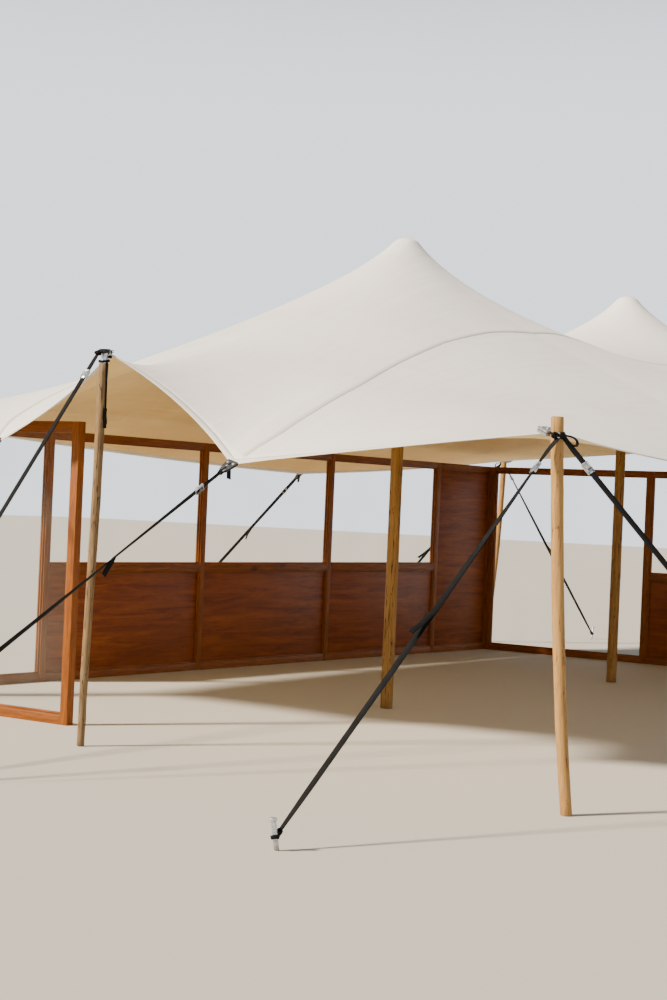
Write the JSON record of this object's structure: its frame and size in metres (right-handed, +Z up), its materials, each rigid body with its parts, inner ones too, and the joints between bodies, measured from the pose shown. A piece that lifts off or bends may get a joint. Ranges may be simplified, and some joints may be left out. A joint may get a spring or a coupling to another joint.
{
  "type": "stretch tent",
  "caption": "Stretch tent: an off-white sheet pulled over tall centre poles and short rim poles, strapped down to ground stakes, with timber and glass screens on the back and the ends.",
  "frame": {"origin": "on the ground, midway between the two centre poles", "axes": "+X along the ridge towards the end with the wide screen, +Z up, -Y towards the open front"},
  "size_m": [15.051, 10.711, 3.624],
  "materials": {
    "canopy_fabric": "coated stretch fabric, off-white above and tan below",
    "webbing": "woven polyester webbing, anthracite",
    "zinc_steel": "zinc-plated steel",
    "centre_pole_timber": "round pole, clear stained",
    "peeled_timber": "peeled round pole, bare and pale",
    "weathered_timber": "round pole, weathered grey-brown",
    "stained_timber": "planed softwood and plywood, orange-brown stain",
    "clear_glass": "clear float glass",
    "black_cap": "moulded black rubber"
  },
  "bodies": {
    "root": {"canopy": "canopy_fabric", "centre_pole_east": "centre_pole_timber", "centre_pole_west": "centre_pole_timber", "glass_back_1": "clear_glass", "glass_back_2": "clear_glass", "glass_back_3": "clear_glass", "glass_back_4": "clear_glass", "glass_end_east_1": "clear_glass", "glass_end_east_2": "clear_glass", "glass_end_east_3": "clear_glass", "glass_end_west_1": "clear_glass", "peak_cap_east": "black_cap", "peak_cap_west": "black_cap", "pole_corner_back_east": "peeled_timber", "pole_corner_back_west": "weathered_timber", "pole_corner_front_east": "weathered_timber", "pole_corner_front_west": "peeled_timber", "pole_end_east": "weathered_timber", "pole_end_west": "weathered_timber", "pole_front": "weathered_timber", "screen_back": "stained_timber", "screen_end_east": "stained_timber", "screen_end_west": "stained_timber", "stake_back": "zinc_steel", "stake_back_east_end": "zinc_steel", "stake_back_east_side": "zinc_steel", "stake_back_west_end": "zinc_steel", "stake_back_west_side": "zinc_steel", "stake_end_east": "zinc_steel", "stake_end_west": "zinc_steel", "stake_front": "zinc_steel", "stake_front_east_end": "zinc_steel", "stake_front_east_side": "zinc_steel", "stake_front_west_end": "zinc_steel", "stake_front_west_side": "zinc_steel", "strap_back": "webbing", "strap_back_east_end": "webbing", "strap_back_east_side": "webbing", "strap_back_west_end": "webbing", "strap_back_west_side": "webbing", "strap_end_east_pole": "webbing", "strap_end_west_back": "webbing", "strap_end_west_front": "webbing", "strap_end_west_pole": "webbing", "strap_front_east": "webbing", "strap_front_east_end": "webbing", "strap_front_east_side": "webbing", "strap_front_pole": "webbing", "strap_front_west": "webbing", "strap_front_west_end": "webbing", "strap_front_west_side": "webbing"}
  },
  "joints": []
}
